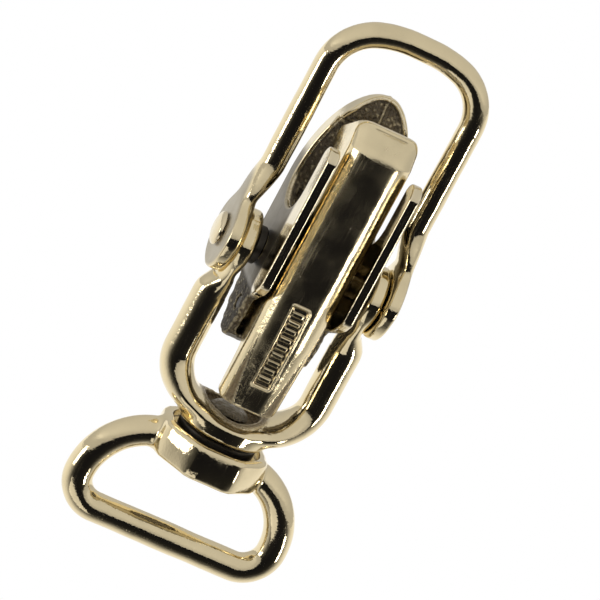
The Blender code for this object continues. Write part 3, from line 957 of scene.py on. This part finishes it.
@dataclass
class Hook:
    """The hook: a spine with a rounded tip, two cheeks and the two fingers by the gate."""

    half_width: float = 7.9
    inner_half: float = 6.25
    tip_start: float = 11.0
    tip_length: float = 18.0
    side_view: Array = field(init=False)
    channel_view: Array = field(init=False)

    def __post_init__(self) -> None:
        """Work out the side view of the whole hook and of the channel between its cheeks."""
        corners = [
            (7.2, 0.0, 0.0), (7.2, 15.0, 20.0), (6.7, 20.5, 20.0), (5.8, 25.0, 10.0),
            (4.9, 28.2, 4.0), (4.3, 29.2, 0.6), (3.6, 28.9, 0.5), (2.4, 25.2, 3.0),
            (3.1, 22.0, 6.0), (3.8, 17.5, 10.0), (3.8, 8.0, 4.9), (-6.2, 8.0, 4.9),
            (-6.2, 21.0, 2.25), (-10.8, 21.0, 2.25), (-10.8, -2.9, 1.2), (-9.3, -4.4, 0.8),
            (-6.8, -5.9, 1.5), (-3.2, -7.4, 1.5), (-2.7, -11.5, 2.0), (-1.9, -14.2, 1.5),
            (0.4, -15.4, 1.5), (3.5, -15.0, 2.0), (6.1, -11.2, 3.0), (7.0, -6.0, 6.0),
        ]
        self.side_view = filleted(corners, 9)
        self.channel_view = filleted(
            [
                (-14.0, -13.8, 0.0), (1.7, -13.8, 1.2), (3.7, -11.4, 2.0), (3.8, -6.0, 5.0),
                (3.8, 23.0, 0.0), (-14.0, 23.0, 0.0),
            ]
        )

    def half(self, reach: Array) -> Array:
        """Half width over the cheeks: full, easing in at the lower lobe."""
        return self.half_width - 0.8 * ease(-reach, 4.0, 8.0)

    def solid(self, x: Array, y: Array, z: Array) -> Array:
        """Distance from the hook: side view cut to width, tip rounded, channel taken out."""
        reach = AXLE_Z - z
        side = np.abs(x)
        face = outline_distance(y, reach, self.side_view)
        plan = oval(x, np.maximum(reach - self.tip_start, 0.0), self.half_width, self.tip_length)
        half = self.half(reach)
        width = np.where((y > -2.0) & (reach > self.tip_start), plan, side - half)
        made = round_common(face, width, 0.4)
        recess = 0.55 * ease(-plan, 0.5, 1.0) * ease(y, -2.0, 0.0) * ease(5.2 - y, 0.0, 0.8)
        made = made + recess * ease(reach, 9.5, 12.5)
        channel = outline_distance(y, reach, self.channel_view)
        inner = self.inner_half - 0.5 * ease(-reach, 5.5, 7.5)
        channel = round_common(channel, side - inner, 0.8)
        made = round_cut(made, channel, 0.3)
        made = round_cut(made, np.hypot(y, z - AXLE_Z) - AXLE_BORE, 0.15)
        made = round_cut(made, np.hypot(y - PIN_Y, z - PIN_Z) - PIN_BORE, 0.12)
        rough = self.rough(x, y, z)
        ridge = 0.25 * np.exp(-((x / 0.3) ** 2)) * ease(reach, 20.5, 23.0) * ease(4.6 - y, 0, 0.6)
        skin = 0.10 * grain(x, y, z, 0.62, 31) + 0.05 * grain(x, y, z, 0.4, 32)
        return made + 0.025 * grain(x, y, z, 4.5, 33) + rough * skin - ridge

    def rough(self, x: Array, y: Array, z: Array) -> Array:
        """Share of as-cast skin: the spine's front inside its rim, channel and lower end."""
        reach = AXLE_Z - z
        plan = oval(x, np.maximum(reach - self.tip_start, 0.0), self.half_width, self.tip_length)
        inside = ease(-plan, 0.45, 0.9)
        front = inside * ease(5.2 - y, 0.0, 0.8) * ease(y, -3.0, -1.5) * ease(reach, 6.0, 9.0)
        lower = ease(-reach, 5.0, 6.6)
        return np.clip(np.maximum(front, lower), 0.0, 1.0)

    def satin_and_painted_reflection(self, x: Array, y: Array, z: Array) -> Array:
        """Share of tumbled skin with a painted near-black reflection: the flat outsides of the
        cheeks.
        """
        reach = AXLE_Z - z
        return ease(np.abs(x) - self.half(reach), -0.5, -0.1) * ease(y, -6.6, -5.2)

    def build(self) -> None:
        """Make and dress the hook, the gate's pin and its spring."""
        hook = cast_piece("hook_frame", self.solid, ["hook_body"], 0.21, self.rough, self.satin_and_painted_reflection)
        dress(hook, CASTING, "hook", ["hook_body"])
        low, high = node_box("gate_pin")
        radius = float(high[1] - PIN_Y)
        rim = 0.3
        profile = [
            (low[0], 0.0), (low[0], radius - rim), (low[0] + rim, radius),
            (high[0] - rim, radius), (high[0], radius - rim), (high[0], 0.0),
        ]
        pin = turned_piece("gate_hinge_pin", profile, True, (PIN_Y, PIN_Z), 64, 0.02)
        dress(pin, STEEL_PAINTED_SHADE, "hook", ["gate_pin"])
        self.build_spring()

    def build_spring(self) -> None:
        """Make the torsion spring that sits between the hook and the gate.

        Formula: a round section carried along a coil of 4.4 turns on the pin, whose
        ends run straight on to a point behind the thumb tail and one on the spine.
        """
        turns, radius, wire, run = 4.4, 2.2, 0.35, 1.8
        share = np.linspace(0.0, 1.0, 211)
        angle = math.radians(150.0) + 2.0 * math.pi * turns * share
        coil_y, coil_z = PIN_Y + radius * np.cos(angle), PIN_Z + radius * np.sin(angle)
        coil = np.stack([-run + 2.0 * run * share, coil_y, coil_z], 1)
        lead_in = np.array([coil[0, 0], -7.0, AXLE_Z + 18.0])
        lead_out = np.array([coil[-1, 0], 3.05, AXLE_Z + 5.2])
        t = np.linspace(0.0, 1.0, 30)[:, None]
        first_leg = lead_in + (coil[0] - lead_in) * t[:-1]
        last_leg = coil[-1] + (lead_out - coil[-1]) * t[1:]
        path = np.concatenate([first_leg, coil, last_leg])
        along = np.gradient(path, axis=0)
        along /= np.linalg.norm(along, axis=1)[:, None]
        across = np.cross(along, np.array([1.0, 0.0, 0.0]))
        across /= np.linalg.norm(across, axis=1)[:, None]
        other = np.cross(along, across)
        turn = np.linspace(0.0, 2.0 * math.pi, 16, endpoint=False)
        cosine, sine = np.cos(turn)[None, :, None], np.sin(turn)[None, :, None]
        points = path[:, None] + wire * (across[:, None] * cosine + other[:, None] * sine)
        spring = shell(
            "gate_torsion_spring", points.reshape(-1, 3), grid_faces(len(path), len(turn))
        )
        twist = Twist("gate", (run, PIN_Y, PIN_Z), (-run, PIN_Y, PIN_Z))
        dress(spring, SPRING, "hook", ["gate_spring"], twist)


@dataclass
class Gate:
    """The sprung gate lever: a hollow casting with a hooked nose and a thumb tail."""

    half_width: float = 5.3
    front: float = -10.4
    nose: float = 26.8
    tail: float = -22.7
    wall: float = 1.3
    front_radius: float = 0.9
    crown: float = 0.5
    panel_low: float = -17.9
    panel_high: float = -3.4
    panel_middle: float = 0.25
    panel_half: float = 1.5
    ribs: int = 10
    side_view: Array = field(init=False)
    hollow_view: Array = field(init=False)

    def __post_init__(self) -> None:
        """Work out the side view of the lever and of its hollow."""
        self.side_view = filleted(
            [
                (-8.5, -22.7, 0.5), (-9.3, -22.3, 0.7), (-10.4, -10.2, 14.0), (-10.4, 23.2, 4.0),
                (-8.5, 25.7, 2.0), (-7.5, 26.2, 0.3), (-7.35, 26.75, 0.35), (-6.0, 26.8, 0.8),
                (-3.0, 24.8, 2.0), (2.0, 22.4, 0.8), (2.6, 19.8, 0.6), (1.4, 18.9, 0.3),
                (-5.0, 17.6, 1.5), (-6.0, 16.4, 2.0), (-6.0, -4.8, 1.5), (-1.6, -7.1, 2.0),
                (2.9, -7.1, 2.4), (2.9, -12.1, 2.4), (-1.6, -12.1, 1.0), (-5.0, -13.8, 2.0),
                (-4.9, -22.7, 0.5),
            ],
            9,
        )
        back = self.front + self.wall + 0.3
        self.hollow_view = filleted(
            [
                (back + 1.3, -21.2, 0.8), (back, -10.2, 3.0), (back, 16.5, 0.8), (-3.0, 15.0, 0.5),
                (5.0, 15.0, 0.0), (5.0, -21.2, 0.0),
            ],
            6,
        )

    def face_y(self, reach: Array) -> Array:
        """Place of the front face: straight, then leaning back along the thumb tail."""
        return self.front + 0.09 * np.maximum(-reach - 10.2, 0.0)

    def panel(self, x: Array, y: Array, reach: Array) -> Array:
        """Relief on the front: a thin raised frame round a sunk field of plain cross ribs."""
        length = (self.panel_high - self.panel_low) / 2.0
        centre = (self.panel_high + self.panel_low) / 2.0
        u = np.abs(x - self.panel_middle - 0.02 * (reach - centre))
        v = np.abs(reach - centre)
        edge = round_common(u - self.panel_half, v - length, 0.5)
        line = np.exp(-((edge / 0.17) ** 2))
        floor = ease(-edge, 0.15, 0.45)
        phase = (reach - self.panel_low) / (2.0 * length) * self.ribs
        rib = ease(np.cos(2.0 * math.pi * phase), -0.35, 0.35) * ease(-edge, 0.4, 0.65)
        facing = ease(self.face_y(reach) + 1.0 - y, 0.0, 0.4)
        return facing * (0.16 * line - 0.30 * floor + 0.26 * rib)

    def solid(self, x: Array, y: Array, z: Array) -> Array:
        """Distance from the lever: side view cut to width, hollowed, bossed and bored."""
        reach = AXLE_Z - z
        side = np.abs(x)
        arch = self.crown * (x / self.half_width) ** 2 * ease(-y, 4.5, 8.0)
        face = outline_distance(y - arch, reach, self.side_view)
        half = self.half_width - 0.45 * ease(-reach, 0.0, 25.0)
        ends = np.maximum(reach - self.nose - 0.05, self.tail - 0.05 - reach)
        corner = np.where(reach > 0.0, 2.4, 1.4)
        plan = round_common(side - half, ends, corner)
        slant = math.radians(40.0)
        front = self.face_y(reach) + arch + 0.6 * np.maximum(reach - 22.4, 0.0)
        bevel = (side - half) * math.sin(slant) + (front - y) * math.cos(slant) + 1.45
        plan = round_common(plan, bevel, 0.7)
        turn = 0.45 + (self.front_radius - 0.45) * ease(-y, 6.8, 8.6)
        made = round_common(face, plan, turn)
        hollow = outline_distance(y, reach, self.hollow_view)
        hollow = round_common(hollow, side - (self.half_width - self.wall), 0.6)
        made = round_cut(made, hollow, 0.25)
        boss = np.hypot(y - PIN_Y, z - PIN_Z) - 2.4
        boss = round_common(boss, np.maximum(3.6 - side, side - 5.45), 0.2)
        made = soft_union(made, boss, 0.3)
        made = round_cut(made, np.hypot(y - PIN_Y, z - PIN_Z) - PIN_BORE, 0.12)
        lump = 0.04 * grain(x, y, z, 5.0, 41) + 0.014 * grain(x, y, z, 1.6, 42)
        return made + lump - self.panel(x, y, reach)

    def rough(self, x: Array, y: Array, z: Array) -> Array:
        """Share of as-cast skin: the inside of the hollow."""
        reach = AXLE_Z - z
        inside = ease(self.half_width - self.wall + 0.3 - np.abs(x), 0.0, 0.4)
        deep = ease(y - self.front - self.wall, 0.0, 0.4) * ease(16.8 - reach, 0.0, 0.4)
        return inside * deep

    def build(self) -> None:
        """Make and dress the gate."""
        gate = cast_piece("thumb_gate", self.solid, ["gate_lever"], 0.22, self.rough)
        dress(gate, SCUFFED, "gate", ["gate_lever"])


# ---------------------------------------------------------------- studio


@dataclass
class Studio:
    """Pale floor, soft light from behind and the sides, a dim room in front, and camera."""

    distance: float = 0.75
    scale: float = 6.5
    azimuth: float = 15.5
    elevation: float = -15.2
    pull_angle: float = 61.7
    axle_right: float = 7.0
    axle_up: float = 33.0
    floor_drop: float = 0.30

    def build(self) -> None:
        """Set up everything that is not part of the object."""
        self.build_floor()
        self.build_room()
        self.build_lights()
        self.build_camera()

    def build_floor(self) -> None:
        """Lay a plain pale floor well under the hanging part."""
        far = 6.0
        mesh = bpy.data.meshes.new("floor")
        corners = [(-far, -far, -self.floor_drop), (far, -far, -self.floor_drop)]
        corners += [(far, far, -self.floor_drop), (-far, far, -self.floor_drop)]
        mesh.from_pydata(corners, [], [(0, 1, 2, 3)])
        floor = bpy.data.objects.new("floor", mesh)
        bpy.context.scene.collection.objects.link(floor)
        material = bpy.data.materials.new("pale_floor")
        material.use_nodes = True
        shader = material.node_tree.nodes["Principled BSDF"]
        shader.inputs["Base Color"].default_value = (0.86, 0.86, 0.86, 1.0)
        shader.inputs["Roughness"].default_value = 0.9
        shader.inputs["Specular IOR Level"].default_value = 0.1
        floor.data.materials.append(material)

    def build_room(self) -> None:
        """Make the room: white behind and beside the part, dim in front of it."""
        world = bpy.data.worlds.new("studio_room")
        bpy.context.scene.world = world
        world.use_nodes = True
        tree = world.node_tree
        tree.nodes.clear()
        output = tree.nodes.new("ShaderNodeOutputWorld")
        direction = tree.nodes.new("ShaderNodeTexCoord").outputs["Generated"]
        split = tree.nodes.new("ShaderNodeSeparateXYZ")
        tree.links.new(direction, split.inputs[0])
        ramp = tree.nodes.new("ShaderNodeValToRGB")
        stops = ramp.color_ramp.elements
        stops[0].position, stops[0].color = 0.0, (0.008, 0.008, 0.010, 1.0)
        stops[1].position, stops[1].color = 1.0, (1.0, 1.0, 1.0, 1.0)
        steps = ((0.13, 0.016), (0.24, 0.085), (0.36, 0.40), (0.52, 0.78), (0.68, 0.95))
        for place, level in steps:
            stop = stops.new(place)
            stop.color = (level, level * 0.97, level * 0.92, 1.0)
        span = tree.nodes.new("ShaderNodeMapRange")
        span.inputs[1].default_value, span.inputs[2].default_value = -1.0, 1.0
        tree.links.new(split.outputs["Y"], span.inputs[0])
        tree.links.new(span.outputs[0], ramp.inputs[0])
        room = tree.nodes.new("ShaderNodeBackground")
        tree.links.new(ramp.outputs[0], room.inputs["Color"])
        room.inputs["Strength"].default_value = 1.05
        backdrop = tree.nodes.new("ShaderNodeBackground")
        backdrop.inputs["Color"].default_value = (1.0, 1.0, 1.0, 1.0)
        backdrop.inputs["Strength"].default_value = 1.0
        path = tree.nodes.new("ShaderNodeLightPath")
        mix = tree.nodes.new("ShaderNodeMixShader")
        tree.links.new(path.outputs["Is Camera Ray"], mix.inputs[0])
        tree.links.new(room.outputs[0], mix.inputs[1])
        tree.links.new(backdrop.outputs[0], mix.inputs[2])
        tree.links.new(mix.outputs[0], output.inputs["Surface"])

    def build_lights(self) -> None:
        """Hang the soft lights whose reflections run down the polished wires."""
        for name, place, width, height, power in (
            ("key_panel", (-0.80, -0.56, 0.22), 0.16, 0.22, 1.3),
            ("side_panel", (0.95, -0.25, 0.05), 0.30, 0.30, 1.6),
            ("top_panel", (0.10, -0.35, -1.05), 0.30, 0.20, 1.0),
            ("ring_panel", (0.25, -0.66, 0.70), 0.85, 0.50, 1.05),
        ):
            data = bpy.data.lights.new(name, "AREA")
            data.shape = "RECTANGLE"
            data.size, data.size_y = width, height
            data.energy = power
            data.color = (1.0, 0.97, 0.92)
            lamp = bpy.data.objects.new(name, data)
            lamp.location = place
            aim = Vector((0.0, 0.0, AXLE_Z * MM)) - Vector(place)
            lamp.rotation_euler = aim.to_track_quat("-Z", "Y").to_euler()
            bpy.context.scene.collection.objects.link(lamp)

    def build_camera(self) -> None:
        """Stand the camera in front of the gate, with the bail pointing up to the right."""
        a, e = math.radians(self.azimuth), math.radians(self.elevation)
        back = Vector((math.sin(a) * math.cos(e), -math.cos(a) * math.cos(e), math.sin(e)))
        level = Vector((0.0, 0.0, 1.0)).cross(back).normalized()
        down = -back.cross(level)
        beside = back.cross(down)
        lean = math.radians(self.pull_angle)
        right = down * math.cos(lean) - beside * math.sin(lean)
        up = down * math.sin(lean) + beside * math.cos(lean)
        data = bpy.data.cameras.new("camera")
        data.sensor_width = 36.0
        data.lens = data.sensor_width * self.distance / MM * self.scale / 600.0
        data.clip_start, data.clip_end = 0.01, 50.0
        camera = bpy.data.objects.new("camera", data)
        axle = Vector((0.0, 0.0, AXLE_Z * MM))
        shift = (right * self.axle_right + up * self.axle_up) * (MM / self.scale)
        place = axle - shift + back * self.distance
        turn = Matrix((right, up, back)).transposed().to_4x4()
        camera.matrix_world = Matrix.Translation(place) @ turn
        bpy.context.scene.collection.objects.link(camera)
        bpy.context.scene.camera = camera


def main() -> None:
    logging.basicConfig(level=logging.INFO, format="%(name)s %(message)s")
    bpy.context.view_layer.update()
    for assembly in (WebbingRing(), Fork(), Bail(), Hook(), Gate(), Studio()):
        assembly.build()
        LOG.info("%s built", type(assembly).__name__)
    scene = bpy.context.scene
    scene.view_settings.view_transform = "Standard"


if __name__ == "__main__":
    main()
